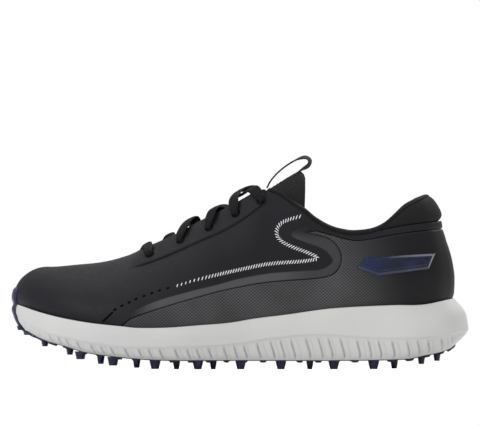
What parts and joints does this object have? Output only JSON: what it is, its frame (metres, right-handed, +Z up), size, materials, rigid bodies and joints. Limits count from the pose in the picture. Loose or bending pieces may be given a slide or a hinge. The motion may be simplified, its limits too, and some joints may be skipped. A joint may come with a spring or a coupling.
{
  "type": "golf shoe",
  "caption": "Low-cut laced golf shoe for the left foot with a moulded stud outsole, foam midsole, padded collar, lifting insole and sprung tongue top.",
  "frame": {"origin": "centre of the bounding box in X and Y, at the tips of the studs", "axes": "+X from the toe to the heel, +Y to the inner (medial) side of the foot, +Z up"},
  "size_m": [0.3018, 0.1102, 0.1404],
  "materials": {
    "outsole": "satin moulded rubber",
    "midsole": "matt moulded foam",
    "board": "plain fibre board",
    "insole_foam": "open foam",
    "insole_cloth": "fine woven cloth",
    "saddle_skin": "matt charcoal skin",
    "quarter_mesh": "embossed grey mesh",
    "tab_fabric": "soft knit",
    "lining_fabric": "black lining cloth",
    "collar_knit": "black knit edge",
    "padding_foam": "soft padding foam",
    "emblem_gloss": "glossy navy moulding",
    "stitch_thread": "silver-grey thread",
    "tongue_knit": "ribbed black knit",
    "loop_webbing": "black webbing",
    "lace_weave": "flat woven lace",
    "aglet_plastic": "clear-coated black tip"
  },
  "bodies": {
    "shoe": {"outsole": "outsole", "midsole": "midsole", "strobel_board": "board", "vamp_saddle": "saddle_skin", "lateral_quarter": "quarter_mesh", "medial_quarter": "quarter_mesh", "heel_tab": "tab_fabric", "eyestay": "saddle_skin", "lining": "lining_fabric", "heel_counter": "board", "collar_foam": "padding_foam", "toe_puff": "board", "collar_binding": "collar_knit", "lateral_emblem": "emblem_gloss", "medial_emblem": "emblem_gloss", "lateral_stitching": "stitch_thread", "medial_stitching": "stitch_thread", "tongue_base": "tongue_knit", "lace": "lace_weave", "lateral_aglet": "aglet_plastic", "medial_aglet": "aglet_plastic"},
    "tongue_top": {"tongue_flap": "tongue_knit", "pull_loop": "loop_webbing"},
    "insole": {"insole": "insole_foam", "insole_cover": "insole_cloth"}
  },
  "joints": [
    {"name": "tongue_fold", "type": "hinge", "parent": "shoe", "child": "tongue_top", "pos_m": [0.01986, 0.00161, 0.1186], "axis": [0, -1, 0], "range_deg": [0, 25], "stiffness_Nm_per_rad": 0.05},
    {"name": "insole_lift", "type": "hinge", "parent": "shoe", "child": "insole", "pos_m": [-0.13664, 0.00961, 0.038], "axis": [0, -1, 0], "range_deg": [0, 4]}
  ]
}
